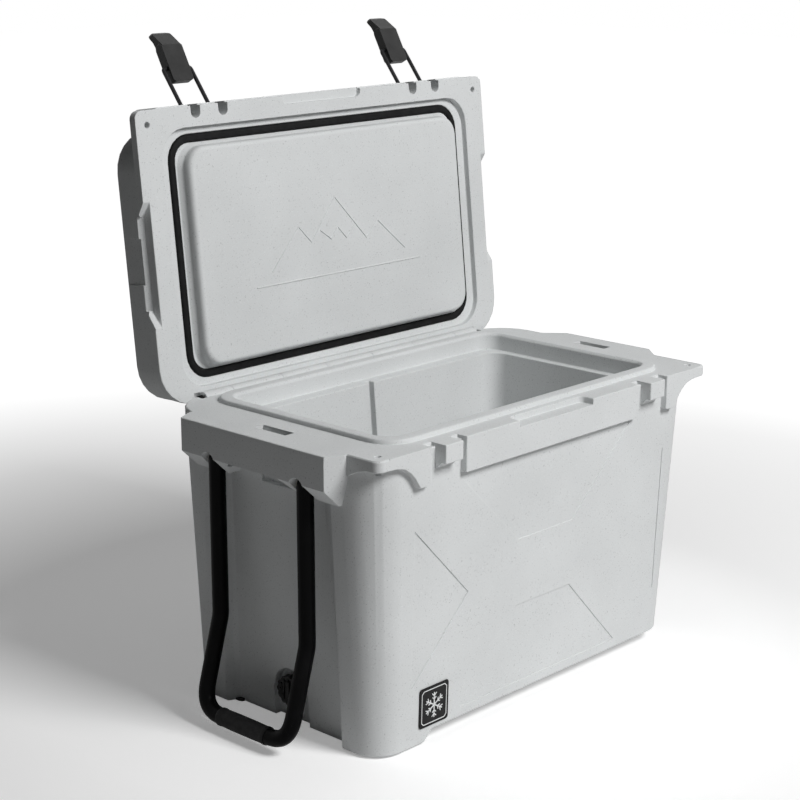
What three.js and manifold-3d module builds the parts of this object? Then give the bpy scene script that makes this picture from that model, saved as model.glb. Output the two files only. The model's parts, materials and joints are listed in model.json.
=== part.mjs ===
// Wheeled cooler: a moulded, foam-filled box with a hinged lid, two wire-and-lever latches, a swinging
// tube handle at one end and two wheels under the other end.
// Millimetres, +Z up. While it is being built, z = 0 is the ground and x = y = 0 is the middle of the box:
// -X is the handle end, +X the wheel end and -Y the front. The last lines move the whole cooler, so that
// its origin is the middle of the bottom of its own box.
import * as THREE from 'three';
import { mergeVertices } from 'three/addons/utils/BufferGeometryUtils.js';
import Module from 'manifold-3d';

const wasm = await Module();
wasm.setup();

// Driving dimensions

const GAP = 0.3;                 // least gap between two pieces that touch
const ROUND = 6;                 // steps in a rounded corner
const FLAT = 20;                 // sides of a small round

const RIM_TOP = 458;             // top of the rim, where the lid rests
const RIM_THICK = 17;            // thickness of the rim's ears
const RIM_LENGTH = 383;          // half length of the rim
const RIM_WIDTH = 222;           // half width of the rim
const RIM_CORNER = 13;
const RIM_REAR_CORNER = 72;

const WALL_LOW = { left: -361, right: 327.8, side: 199.4 };      // the outside at the ground
const WALL_SLOPE = { left: -0.0514, right: 0.098, side: 0.0286 }; // mm outwards per mm of height
const SHELL = 5.5;               // wall of the mouldings
const UNDERSIDE = 20.4;          // height of the bottom between foot and wheels
const FOOT_END = -275;           // the foot runs from the handle end to here

const PANEL_LOW = -339;          // recessed panel between the corner columns of the handle end
const PANEL_SLOPE = -0.0649;

const BAR_OUT = -414.6;          // outer face of the bar that carries the handle
const BAR_HALF = 149;
const BAR_LOW = 408;             // underside of that bar
const LOBE_LOW = 381;            // underside of the two lobes that hold the handle pivots
const GRAB_OUT = 409.5;          // outer face of the bar at the wheel end
const SLOT_AT = 367;             // tie-down slots through the rim
const LOCK_HOLE = { x: 361, y: -200.4, radius: 4.7 };

const MOUTH_REAR = 10;           // the mouth reaches this much further back than forwards
const TUB_TOP = { length: 300.5, width: 163.5, corner: 28 };
const TUB_LEDGE = { length: 287, width: 151, corner: 28 };
const TUB_FLOOR = { length: 250, width: 118, corner: 30 };
const LEDGE = 436;
const FLOOR = 44;
const HUMP = { x: 205, top: 125 };   // raised floor over the wheels
const GROOVE = { x: -13, width: 11, depth: 11 }; // divider grooves in the long walls

const LIP = { length: 322, width: 187, corner: 46, top: 465 };

const APRON = { half: 202.6, low: 404.7 };
const LATCH_AT = 238.6;          // middle of a latch
const LATCH_OPEN = 275.7;        // outer side of the latch recess
const CATCH = { half: 18.5, low: 430.3, out: -231.5 };

const HINGE = { y: 219.3, z: 452, rod: 4, bore: 4.3, knuckle: 12.5, clear: 13 };
const LID_KNUCKLES = [-203, 0, 203];
const LID_KNUCKLE_LENGTH = 105;
const HINGE_END = 311;           // outer end of the base's outer knuckles
const POCKET_END = 321.5;          // outer end of the pockets for the rod's caps
const LID_OPEN = 95.9;           // degrees

const LID = { under: 458.3, flange: 473, top: 524, front: -192, rear: 222.5, length: 380, corner: 60 };
const FASCIA = { half: 345, front: -224.5 };   // between the corner ears the lid is as deep as this
const PLUG = { length: 291, width: 154.5, corner: 25, face: 446 };
const SEAT = { length: 337, width: 191, corner: 46, top: 468.5 };
const GASKET = { length: 313.7, width: 174, corner: 34, half: 6.3, low: 465.4, high: 474.4 };

const BAIL = { y: -207.5, z: 482, length: 84, wire: 3.2, half: 27, rest: 32 };
const NOTCH = { inner: 18.3, outer: 36.5, back: -203.6, top: 512 };
const LEVER = { half: 20, tip: 18, turn: 9.2 };

const HANDLE = { x: -395.5, y: 92.5, z: 402, tube: 12.5, grip: 14, gripHalf: 51 };
const TUNNEL = { half: 14, end: -379 };
const PIN = 4;
const PIN_SEAT = 66;             // the pins' heads sit in counterbores of the lobes
const BUSH = 7;

const WHEEL = { x: 296, radius: 46, inner: 98, outer: 132, hub: 33, bore: 6.4 };
const WELL = { radius: 51, inner: 94, outer: 137 };
const AXLE = 6;
const CLAMP_AT = 60;

const DRAIN = { z: 51, floor: -329, circle: 34, channel: 36.5, bore: 11, inside: -258, knob: 23.5 };
const SUMP = { low: -258, high: -212, half: 26, floor: 31 };

// Materials

const plastic = (colour, roughness) => new THREE.MeshStandardMaterial({ color: colour, roughness, metalness: 0 });
const metal = (colour, roughness) => new THREE.MeshStandardMaterial({ color: colour, roughness, metalness: 1 });
const moulding = plastic(0xd2d4d3, 0.62);
const foam = plastic(0xe9dfb8, 0.9);
const black = plastic(0x17181a, 0.45);
const rubber = plastic(0x1b1b1c, 0.8);
const nylon = plastic(0xdad8cf, 0.5);
const coated = plastic(0x141416, 0.35);
const steel = metal(0xb9bcc0, 0.3);

// Geometry helpers

function solid(geometry) {
  const bare = geometry.clone();
  bare.deleteAttribute('normal');
  bare.deleteAttribute('uv');
  const merged = mergeVertices(bare, 1e-4);
  return new wasm.Manifold(new wasm.Mesh({
    numProp: 3,
    vertProperties: new Float32Array(merged.attributes.position.array),
    triVerts: new Uint32Array(merged.index.array),
  }));
}

function node(name, shape, material) {
  const data = shape.getMesh();
  const geometry = new THREE.BufferGeometry();
  geometry.setAttribute('position', new THREE.BufferAttribute(new Float32Array(data.vertProperties), 3));
  geometry.setIndex(new THREE.BufferAttribute(new Uint32Array(data.triVerts), 1));
  geometry.computeVertexNormals();
  const mesh = new THREE.Mesh(geometry, material);
  mesh.name = name;
  return mesh;
}

const join = (...parts) => parts.reduce((whole, part) => whole.add(part));
const cut = (whole, ...tools) => tools.reduce((rest, tool) => rest.subtract(tool), whole);

function flatShape(points) {
  return new THREE.Shape(points.map(([a, b]) => new THREE.Vector2(a, b)));
}

function block(x0, x1, y0, y1, z0, z1) {
  const size = [Math.abs(x1 - x0), Math.abs(y1 - y0), Math.abs(z1 - z0)];
  return solid(new THREE.BoxGeometry(...size).translate((x0 + x1) / 2, (y0 + y1) / 2, (z0 + z1) / 2));
}

// A profile of (y, z) points run along X
function alongX(points, x0, x1) {
  const low = Math.min(x0, x1);
  const geometry = new THREE.ExtrudeGeometry(flatShape(points), { depth: Math.abs(x1 - x0), bevelEnabled: false });
  const turn = new THREE.Matrix4().makeBasis(
    new THREE.Vector3(0, 1, 0), new THREE.Vector3(0, 0, 1), new THREE.Vector3(1, 0, 0));
  return solid(geometry.applyMatrix4(turn).translate(low, 0, 0));
}

// A profile of (x, z) points run along Y; lean is how far it shifts along Y for each mm of height
function alongY(points, y0, y1, lean = 0) {
  const high = Math.max(y0, y1);
  const geometry = new THREE.ExtrudeGeometry(flatShape(points), { depth: Math.abs(y1 - y0), bevelEnabled: false });
  const turn = new THREE.Matrix4().makeBasis(
    new THREE.Vector3(1, 0, 0), new THREE.Vector3(0, lean, 1), new THREE.Vector3(0, -1, 0));
  return solid(geometry.applyMatrix4(turn).translate(0, high, 0));
}

// Outlines of the same number of points, stacked up Z: sections is a list of [z, outline]
function loft(sections) {
  const lowest = sections[0][1];
  const steps = sections.length - 1;
  const geometry = new THREE.ExtrudeGeometry(flatShape(lowest), { depth: steps, steps, bevelEnabled: false });
  const place = geometry.attributes.position;
  for (let i = 0; i < place.count; i += 1) {
    const [z, outline] = sections[Math.round(place.getZ(i))];
    const away = lowest.map(([x, y]) => Math.hypot(x - place.getX(i), y - place.getY(i)));
    const [x, y] = outline[away.indexOf(Math.min(...away))];
    place.setXYZ(i, x, y, z);
  }
  return solid(geometry);
}

// A rectangle with four rounded corners, in the order front right, rear right, rear left, front left
function rounded(x0, x1, y0, y1, radius, steps = ROUND) {
  const radii = Array.isArray(radius) ? radius : [radius, radius, radius, radius];
  const corners = [[x1, y0, -1, 1], [x1, y1, -1, -1], [x0, y1, 1, -1], [x0, y0, 1, 1]];
  return corners.flatMap(([x, y, inX, inY], k) => Array.from({ length: steps + 1 }, (_, i) => {
    const angle = (k - 1 + i / steps) * Math.PI / 2;
    const r = radii[k];
    return [x + inX * r + r * Math.cos(angle), y + inY * r + r * Math.sin(angle)];
  }));
}

const centred = (length, width, radius, steps) => rounded(-length, length, -width, width, radius, steps);
const mouth = (length, width, radius) => rounded(-length, length, -width, width + MOUTH_REAR, radius);
const plate = (outline, z0, z1) => loft([[z0, outline], [z1, outline]]);

function rod(from, to, radius, sides = FLAT) {
  const a = new THREE.Vector3(...from);
  const b = new THREE.Vector3(...to);
  const way = b.clone().sub(a);
  const geometry = new THREE.CylinderGeometry(radius, radius, way.length(), sides);
  const turn = new THREE.Quaternion().setFromUnitVectors(new THREE.Vector3(0, 1, 0), way.clone().normalize());
  geometry.applyQuaternion(turn);
  const middle = a.add(b).multiplyScalar(0.5);
  return solid(geometry.translate(middle.x, middle.y, middle.z));
}

const rodX = (x0, x1, y, z, radius, sides) => rod([x0, y, z], [x1, y, z], radius, sides);
const rodY = (x, y0, y1, z, radius, sides) => rod([x, y0, z], [x, y1, z], radius, sides);
const rodZ = (x, y, z0, z1, radius, sides) => rod([x, y, z0], [x, y, z1], radius, sides);

function ball(x, y, z, radius, sides = 12) {
  return solid(new THREE.SphereGeometry(radius, sides, sides / 2).translate(x, y, z));
}

// A round tube along straight runs whose inner corners are rounded with the given radius
function tubeAlong(points, bend, radius, sides, steps) {
  const at = points.map((point) => new THREE.Vector3(...point));
  const path = new THREE.CurvePath();
  let start = at[0];
  for (let i = 1; i < at.length - 1; i += 1) {
    const into = at[i].clone().sub(at[i - 1]).normalize();
    const out = at[i + 1].clone().sub(at[i]).normalize();
    const back = bend[i - 1] * Math.tan(into.angleTo(out) / 2);
    const before = at[i].clone().addScaledVector(into, -back);
    const after = at[i].clone().addScaledVector(out, back);
    path.add(new THREE.LineCurve3(start, before));
    path.add(new THREE.QuadraticBezierCurve3(before, at[i], after));
    start = after;
  }
  path.add(new THREE.LineCurve3(start, at[at.length - 1]));
  const ring = Array.from({ length: sides }, (_, i) => {
    const angle = 2 * Math.PI * (i + 0.5) / sides;
    return [radius * Math.cos(angle), radius * Math.sin(angle)];
  });
  return solid(new THREE.ExtrudeGeometry(flatShape(ring), { steps, extrudePath: path, bevelEnabled: false }));
}

// Outside planes of the box at a height

const leftAt = (z) => WALL_LOW.left + WALL_SLOPE.left * z;
const rightAt = (z) => WALL_LOW.right + WALL_SLOPE.right * z;
const sideAt = (z) => WALL_LOW.side + WALL_SLOPE.side * z;
const panelAt = (z) => PANEL_LOW + PANEL_SLOPE * z;

function boxOutline(z, inset, radii) {
  const reach = sideAt(z) - inset;
  return rounded(leftAt(z) + inset, rightAt(z) - inset, -reach, reach, radii);
}

function tubOutline(size, grow) {
  return centred(size.length + grow, size.width + grow, size.corner + grow);
}

// Body moulding

// The outer walls, from the ground up into the rim, with the corner columns of the handle end
function bodyWalls() {
  const top = RIM_TOP - 5;
  const low = [52, 52, 45, 45];
  const high = [70, 70, 60, 60];
  const walls = loft([
    [1, boxOutline(0, 4, low)],
    [5, boxOutline(5, 0, low)],
    [top, boxOutline(top, 0, high)],
  ]);
  const slope = 25;
  const under = alongY([
    [FOOT_END, -5], [FOOT_END + slope, UNDERSIDE], [rightAt(0) + 100, UNDERSIDE], [rightAt(0) + 100, -5],
  ], -300, 300);
  return cut(walls, under, endRecess(), ...stylePockets());
}

// The recess between the corner columns, from the ground to the handle bar
function endRecess() {
  const halfAt = (z) => 119 - 19 * z / RIM_TOP;
  const outline = (z) => {
    const x = panelAt(z);
    const step = 6;
    const half = halfAt(z);
    return [
      [x, -half + step], [x, half - step], [x - step, half], [leftAt(z), 121 + step],
      [leftAt(z) - 80, 121 + step], [leftAt(z) - 80, -121 - step], [leftAt(z), -121 - step], [x - step, -half],
    ];
  };
  return loft([[-5, outline(-5)], [LEDGE, outline(LEDGE)]]);
}

// Shallow pockets in the front and rear walls, which leave a wide X standing
function stylePockets() {
  const depth = 1.6;
  const middle = -4;
  const waist = 215;
  const shapes = [
    [[-200, 398], [-64, 268], [64, 268], [200, 398]],
    [[-186, 36], [186, 36], [64, 162], [-64, 162]],
    [[-292, 336], [-292, 96], [-174, waist]],
    [[292, 336], [174, waist], [286, 96]],
  ];
  return shapes.flatMap((shape) => {
    const points = shape.map(([x, z]) => [x + middle, z]);
    const face = WALL_LOW.side - depth;
    return [
      alongY(points, -face - 40, -face, -WALL_SLOPE.side),
      alongY(points, face, face + 40, WALL_SLOPE.side),
    ];
  });
}

function rimOutline(inset) {
  const corners = [RIM_CORNER, RIM_REAR_CORNER, RIM_REAR_CORNER, RIM_CORNER];
  const length = RIM_LENGTH - inset;
  const width = RIM_WIDTH - inset;
  return rounded(-length, length, -width, width, corners.map((r) => r - inset));
}

// The rim: ears, front and rear aprons, tabs beside the latch recesses and the catch blocks
function rim() {
  const low = RIM_TOP - RIM_THICK;
  const edge = 2;
  const ears = loft([[low, rimOutline(0)], [RIM_TOP - edge, rimOutline(0)], [RIM_TOP, rimOutline(edge)]]);
  const deep = 195;
  const apron = block(-APRON.half, APRON.half, -RIM_WIDTH, -deep, APRON.low, RIM_TOP);
  const rearApron = block(-HINGE_END, HINGE_END, deep, RIM_WIDTH, APRON.low, RIM_TOP);
  let whole = join(ears, apron, rearApron);
  const catches = [];
  for (const side of [-1, 1]) {
    const tab = [
      [LATCH_OPEN, 404], [298, 402], [303, 409.5], [308, 417.5], [317, 427.5], [329, 436],
      [345, 440], [360, low], [360, RIM_TOP], [LATCH_OPEN, RIM_TOP],
    ].map(([x, z]) => [side * x, z]);
    const x = side * LATCH_AT;
    const catchBlock = alongX([
      [-deep, RIM_TOP], [CATCH.out, RIM_TOP], [CATCH.out, CATCH.low], [CATCH.out + 9, CATCH.low],
      [-212, CATCH.low - 10], [-deep, CATCH.low - 10],
    ], x - CATCH.half, x + CATCH.half);
    whole = join(whole, alongY(tab, -RIM_WIDTH, -deep));
    catches.push(catchBlock);
  }
  return join(cut(whole, ...latchGaps(0)), ...catches);
}

// The bar at the handle end, with the two lobes that the handle is pinned in
function handleBar() {
  const tip = 162;
  const inner = -340;
  const plan = plate([
    [inner, -tip], [-388, -tip], [BAR_OUT, -BAR_HALF], [BAR_OUT, BAR_HALF], [-388, tip], [inner, tip],
  ].reverse(), LOBE_LOW, RIM_TOP);
  const endView = alongY([
    [BAR_OUT, RIM_TOP], [BAR_OUT, BAR_LOW], [BAR_OUT + 28.6, LOBE_LOW], [inner, LOBE_LOW], [inner, RIM_TOP],
  ], -200, 200);
  const sideView = alongX([
    [-tip, RIM_TOP], [-tip, LOBE_LOW], [-78, LOBE_LOW], [-55, BAR_LOW],
    [55, BAR_LOW], [78, LOBE_LOW], [tip, LOBE_LOW], [tip, RIM_TOP],
  ], -450, -300);
  const bar = cut(plan.intersect(endView).intersect(sideView), ...barTapers(inner));
  const coves = [-1, 1].map((side) => alongX([
    [side * (tip - 2), RIM_TOP - 5], [side * (tip - 2), 424], [side * 170, 431], [side * 182, 437],
    [side * 197, RIM_TOP - RIM_THICK], [side * 197, RIM_TOP - 5],
  ], -RIM_LENGTH, inner).intersect(plate(rimOutline(0), 400, RIM_TOP)));
  return join(bar, ...coves);
}

// What is taken off the bar's ends, which draw in downwards
function barTapers(inner) {
  const outer = -450;
  const slope = { x: 0.2913, z: 0.3087 };   // mm sideways per mm inwards and upwards
  const reachAt = (x, z) => BAR_HALF + slope.x * (x - BAR_OUT) + slope.z * (z - BAR_LOW);
  return [-1, 1].map((side) => loft([LOBE_LOW - 5, RIM_TOP + 12].map((z) => [z, [
    [outer, side * reachAt(outer, z)], [inner, side * reachAt(inner, z)], [inner, side * 200], [outer, side * 200],
  ]])));
}

function grabBar() {
  const plan = [[350, -122], [379, -122], [GRAB_OUT, -88], [GRAB_OUT, 88], [379, 122], [350, 122]];
  const low = RIM_TOP - 30;
  const endView = alongY([
    [350, RIM_TOP], [350, low - 24], [GRAB_OUT - 24, low], [GRAB_OUT, low], [GRAB_OUT, RIM_TOP],
  ], -200, 200);
  return plate(plan, low - 24, RIM_TOP).intersect(endView);
}

// Where the handle's tubes, pins and bushings go
function handleCuts() {
  return [-1, 1].flatMap((side) => {
    const y = side * HANDLE.y;
    return [
      block(-450, TUNNEL.end, y - TUNNEL.half, y + TUNNEL.half, LOBE_LOW - 20, HANDLE.z),
      rodX(-450, TUNNEL.end, y, HANDLE.z, TUNNEL.half),
      rodY(HANDLE.x, side * 50, side * 126, HANDLE.z, PIN + GAP),
      rodY(HANDLE.x, side * 50, side * PIN_SEAT, HANDLE.z, PIN + 2.3, 16),
    ];
  });
}

// The inside of the tub, grown outwards all round by grow
function tubHollow(grow) {
  const floor = FLOOR - grow;
  const soft = 9;
  const bottom = tubOutline(TUB_FLOOR, grow);
  const sunk = centred(TUB_FLOOR.length + grow - soft, TUB_FLOOR.width + grow - soft, TUB_FLOOR.corner - soft + grow);
  const lower = loft([[floor, sunk], [floor + soft, bottom], [LEDGE - grow, tubOutline(TUB_LEDGE, grow)]]);
  const opening = (more) => mouth(TUB_TOP.length + more, TUB_TOP.width + more, TUB_TOP.corner + more);
  const upper = loft([
    [LEDGE - grow, opening(grow)], [LIP.top - 4, opening(grow)], [LIP.top + 1, opening(grow + 5)],
  ]);
  const hump = alongY([
    [HUMP.x + grow + 3, HUMP.top - grow], [HUMP.x + grow, 0], [400, 0], [400, HUMP.top - grow],
  ], -300, 300);
  return join(cut(lower, hump), upper);
}

function dividerGrooves(grow) {
  const half = GROOVE.width / 2 + grow;
  const out = GROOVE.depth + grow;
  return [-1, 1].map((side) => alongX([
    [side * 90, FLOOR], [side * (TUB_FLOOR.width + out), FLOOR], [side * (TUB_LEDGE.width + out), LEDGE],
    [side * 90, LEDGE],
  ], GROOVE.x - half, GROOVE.x + half));
}

// Slots for the latch wires, beside the catch blocks
function latchGaps(grow) {
  return [-1, 1].map((side) => block(
    side * (APRON.half - grow), side * (LATCH_OPEN + grow), -300, NOTCH.back + grow, 400 - grow, RIM_TOP + 5));
}

// Slots for a tie-down strap, down through the rim and out at the end walls
function tieDowns(grow) {
  const half = 9 + grow;
  return [-1, 1].map((side) => block(
    side * SLOT_AT - half, side * SLOT_AT + half, -32 - grow, 32 + grow, (side < 0 ? 376 : 400) - grow, RIM_TOP + 5));
}

function screwHoles(grow) {
  return clampScrewPlaces().map(([x, y]) => rodZ(x, y, 10, 38 + grow, 2.8 + grow, 10));
}

// Wheel wells and the axle groove, cut up into the bottom, grown by grow
function wheelCuts(grow) {
  const wells = [-1, 1].flatMap((side) => {
    const y0 = side * (WELL.inner - grow);
    const y1 = side * (WELL.outer + grow);
    const radius = WELL.radius + grow;
    return [
      rodY(WHEEL.x, y0, y1, WHEEL.radius, radius, 28),
      block(WHEEL.x - radius, WHEEL.x + 64, y0, y1, -10, WHEEL.radius),
      block(WHEEL.x, WHEEL.x + 64, y0, y1, -10, WHEEL.radius + radius),
    ];
  });
  const groove = block(WHEEL.x - 9 - grow, WHEEL.x + 9 + grow, -WELL.inner - 1, WELL.inner + 1, -10, 55 + grow);
  return [...wells, groove];
}

function drainCuts() {
  return [
    rodX(panelAt(0) - 60, DRAIN.floor, 0, DRAIN.z, DRAIN.circle, 28),
    block(panelAt(0) - 60, DRAIN.floor, -DRAIN.channel, DRAIN.channel, -5, DRAIN.z),
    rodX(DRAIN.floor - 5, DRAIN.inside + 5, 0, DRAIN.z, DRAIN.bore),
    block(SUMP.low, SUMP.high, -SUMP.half, SUMP.half, SUMP.floor, FLOOR + 32),
  ];
}

// Rounds about the hinge axis between two x places
const hingeRound = (x0, x1, radius) => rodX(x0, x1, HINGE.y, HINGE.z, radius);

const lidKnuckleSpan = (x, grow = 0) => [x - LID_KNUCKLE_LENGTH / 2 - grow, x + LID_KNUCKLE_LENGTH / 2 + grow];

// The base's knuckles fill the spaces between those of the lid
function baseKnuckleSpans(grow = 0) {
  const clear = 0.5 - grow;
  const edges = LID_KNUCKLES.flatMap((x) => lidKnuckleSpan(x));
  const spans = [[-HINGE_END - grow, edges[0] - clear]];
  for (let i = 1; i < edges.length - 1; i += 2) {
    spans.push([edges[i] + clear, edges[i + 1] - clear]);
  }
  spans.push([edges[edges.length - 1] + clear, HINGE_END + grow]);
  return spans;
}

const hingePockets = () => [-1, 1].map((side) => hingeRound(side * HINGE_END, side * POCKET_END, HINGE.clear));

// The space inside the body moulding that the foam fills; inset is the wall left outside it
function bodyFoamSpace(inset) {
  const low = UNDERSIDE + inset;
  const high = RIM_TOP - inset - 8;
  const outline = (z) => {
    const reach = sideAt(z) - inset - 1;
    return rounded(panelAt(z) + inset + 8, rightAt(z) - inset - 1, -reach, reach, 50);
  };
  const drain = block(-400, SUMP.high + 12 + inset, -SUMP.half - 8 - inset, SUMP.half + 8 + inset, 0, 92 + inset);
  return cut(
    loft([[low, outline(low)], [high, outline(high)]]), drain,
    tubHollow(inset), ...dividerGrooves(inset), ...wheelCuts(inset),
    ...latchGaps(inset), ...tieDowns(inset), ...screwHoles(inset),
  );
}

const BODY_FILL = { x: 60, radius: 15 };

function bodyShell() {
  const edge = 4;
  const lipAt = (inset) => mouth(LIP.length - inset, LIP.width - inset, LIP.corner - inset);
  const lip = loft([
    [RIM_TOP - 4, lipAt(0)], [LIP.top - edge, lipAt(0)], [LIP.top - 1, lipAt(1.5)], [LIP.top, lipAt(edge)],
  ]);
  let shell = join(bodyWalls(), rim(), handleBar(), grabBar(), lip);
  const fingerSlot = plate(rounded(-86, 86, -240, -198, 9.5, 4), RIM_TOP - 9.5, RIM_TOP + 5);
  const locks = [-1, 1].map((side) => rodZ(side * LOCK_HOLE.x, LOCK_HOLE.y, 430, RIM_TOP + 5, LOCK_HOLE.radius, 14));
  shell = cut(shell, tubHollow(0), ...dividerGrooves(0), fingerSlot, ...locks, ...tieDowns(0));
  shell = cut(shell, ...handleCuts(), ...wheelCuts(0), ...drainCuts());
  const chamfer = alongX([[225, 452], [225, 461], [219.3, 461], [219.3, 457.3]], -400, 400);
  shell = cut(shell, chamfer, ...LID_KNUCKLES.map((x) => hingeRound(...lidKnuckleSpan(x, 0.25), HINGE.clear)));
  shell = join(shell, ...baseKnuckleSpans().map((span) => hingeRound(...span, HINGE.knuckle)));
  shell = cut(shell, ...hingePockets(), hingeRound(-POCKET_END, POCKET_END, HINGE.bore));
  const fill = rodZ(BODY_FILL.x, 0, UNDERSIDE - 5, UNDERSIDE + 12, BODY_FILL.radius);
  return cut(shell, bodyFoamSpace(SHELL), fill, ...padSpaces(0), ...screwHoles(0));
}

// Rubber pads let into the foot

const PAD = { x: -320, y: 140, length: 26, width: 34, depth: 5 };

function padSpaces(inset) {
  return [-1, 1].map((side) => plate(rounded(
    PAD.x - PAD.length + inset, PAD.x + PAD.length - inset,
    side * PAD.y - PAD.width + inset, side * PAD.y + PAD.width - inset, 8, 3), inset ? 0 : -2, PAD.depth - inset));
}

// Lid moulding, drawn closed

// The gasket's middle line, moved outwards by grow
const gasketOutline = (grow) => mouth(GASKET.length + grow, GASKET.width + grow, GASKET.corner + grow);

const LID_FILL = { z: 497, radius: 12 };

function lidFoamSpace(inset) {
  const slab = plate(
    rounded(-364 + inset, 364 - inset, -180 + inset, 212 - inset, 52), SEAT.top + 8 + inset, LID.top - inset);
  const core = plate(mouth(PLUG.length - inset, PLUG.width - inset, PLUG.corner), PLUG.face + inset, LID.flange + 12);
  return join(slab, core);
}

// The wire and the catch block need slots that open to the front and downwards
function latchNotches() {
  const radius = (NOTCH.outer - NOTCH.inner) / 2;
  const end = NOTCH.back - radius;
  const front = -240;
  const flare = 0.7;
  return [-1, 1].flatMap((side) => [-1, 1].flatMap((way) => {
    const x = side * LATCH_AT + way * (NOTCH.inner + radius);
    return [
      plate([
        [x - radius - flare, front], [x + radius + flare, front], [x + radius, end], [x - radius, end],
      ], 450, NOTCH.top),
      rodZ(x, end, 450, NOTCH.top, radius, 24),
    ];
  }));
}

function lidShell() {
  const corners = [RIM_CORNER, LID.corner, LID.corner, RIM_CORNER];
  const edge = 2;
  const flat = rounded(-RIM_LENGTH, RIM_LENGTH, -RIM_WIDTH - 0.5, LID.rear, corners);
  const flatIn = rounded(-RIM_LENGTH + edge, RIM_LENGTH - edge, -RIM_WIDTH - 0.5 + edge, LID.rear - edge,
    corners.map((r) => r - edge));
  const flange = loft([[LID.under, flat], [LID.flange - edge, flat], [LID.flange, flatIn]]);
  const domeAt = (inset) => rounded(
    -LID.length + inset, LID.length - inset, LID.front + inset, LID.rear - inset,
    LID.corner - inset * 0.5);
  const fasciaAt = (inset) => rounded(
    -FASCIA.half + inset, FASCIA.half - inset, FASCIA.front + inset, 0, [14, 4, 4, 14]);
  const dome = [domeAt, fasciaAt].map((at) => loft([
    [LID.flange - 8, at(0)], [LID.top - 9, at(2)], [LID.top - 3.5, at(3.6)], [LID.top - 1, at(6)], [LID.top, at(10)],
  ]));
  const seat = plate(mouth(SEAT.length, SEAT.width, SEAT.corner), LID.under - 10, SEAT.top);
  const groove = cut(
    plate(gasketOutline(GASKET.half + GAP), LIP.top - 3, GASKET.high + GAP),
    plate(gasketOutline(-GASKET.half - GAP), LIP.top - 5, GASKET.high + 5),
  );
  const plugAt = (grow) => mouth(PLUG.length + grow, PLUG.width + grow, PLUG.corner + grow);
  const plug = loft([
    [PLUG.face, plugAt(0)], [PLUG.face + 0.9, plugAt(3.2)], [PLUG.face + 3, plugAt(5.6)],
    [PLUG.face + 7, plugAt(7)], [LIP.top - 3.5, plugAt(7.6)], [SEAT.top - 0.6, plugAt(13)],
    [SEAT.top + 2, plugAt(20)],
  ]);
  const ceiling = LID.flange + 1.3;
  const fingers = [-1, 1].flatMap((side) => [
    alongX([[-90, LID.under - 1], [-67, ceiling], [74, ceiling], [100, LID.under - 1]], side * 371, side * 400),
    alongY([[side * 371, ceiling], [side * 395, ceiling], [side * 395, ceiling + 20]], -67, 74),
  ]);
  const front = plate(rounded(-86, 86, -240, -209.5, 9.5, 4), LID.under - 5, LID.under + 8);
  const strap = [-1, 1].map((side) => block(side * 377, side * 400, -35, 35, LID.flange + 1.3, LID.top + 5));
  strap.push(block(-400, 400, -35, 35, LID.top - 2.5, LID.top + 5));
  const locks = [-1, 1].map((side) => rodZ(side * LOCK_HOLE.x, LOCK_HOLE.y, 450, 480, LOCK_HOLE.radius, 14));
  const bores = [-1, 1].map((side) => rodX(
    side * LATCH_AT - 24, side * LATCH_AT + 24, BAIL.y, BAIL.z, BAIL.wire + 0.4, 12));
  let shell = join(cut(join(flange, ...dome), seat), plug);
  shell = cut(shell, groove, ...fingers, front, ...strap, ...locks, ...latchNotches(), ...bores);
  shell = cut(shell, ...baseKnuckleSpans(0.4).map((span) => hingeRound(...span, HINGE.clear)), ...hingePockets());
  shell = join(shell, ...LID_KNUCKLES.map((x) => hingeRound(...lidKnuckleSpan(x), HINGE.knuckle)));
  const fill = rodY(0, LID.rear - 16, LID.rear + 5, LID_FILL.z, LID_FILL.radius);
  return cut(shell, hingeRound(-POCKET_END, POCKET_END, HINGE.bore), lidFoamSpace(SHELL), fill);
}

// A D section, flat in its groove and round where it meets the lip
function lidGasket() {
  const section = [[0, 3.4], [1.1, 1.3], [3.4, 0], [GASKET.high - GASKET.low, 0]];
  const skin = (way) => section.map(([up, inset]) => [GASKET.low + up, gasketOutline(way * (GASKET.half - inset))]);
  const inside = skin(-1);
  const first = [GASKET.low - 5, inside[0][1]];
  const last = [GASKET.high + 5, inside[inside.length - 1][1]];
  return cut(loft(skin(1)), loft([first, ...inside, last]));
}

// Latches. A bail is drawn lying forwards from its pivot at the origin; a lever from its own pivot,
// with its tip towards -Y and its outer side up.

function latchBail() {
  const reach = -BAIL.length;
  const r = BAIL.wire;
  const parts = [rodX(-BAIL.half, BAIL.half, 0, 0, r, 12)];
  for (const side of [-1, 1]) {
    const x = side * BAIL.half;
    parts.push(rodY(x, 0, reach, 0, r, 12), rodX(x, side * 14, reach, 0, r, 12));
    parts.push(ball(x, 0, 0, r), ball(x, reach, 0, r));
  }
  return join(...parts);
}

function latchLever() {
  const bodyProfile = [[-24.4, -8], [34, -8], [41, -3], [38, 7], [32, 9], [-17, 9], [-23, 6.5], [-24.4, 3]];
  const tipProfile = [[28, -8], [36, -8], [60, 6], [64, 12], [62.5, 15.5], [60, 16.5], [48, 11], [32, 8.4]];
  const run = (profile, half, from, to, corners) => alongX(profile.map(([out, up]) => [-out, up]), -half, half)
    .intersect(plate(rounded(-half, half, from, to, corners, 4), -20, 30));
  const eye = rodX(-30, 30, 0, 0, BAIL.wire + GAP, 12);
  return cut(join(
    run(bodyProfile, LEVER.half, -41, 24.4, [4, 6, 6, 4]),
    run(tipProfile, LEVER.tip, -64, -20, [8, 2, 2, 8]),
  ), eye);
}

// Handle, drawn about its pivot axis, hanging straight down

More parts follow.
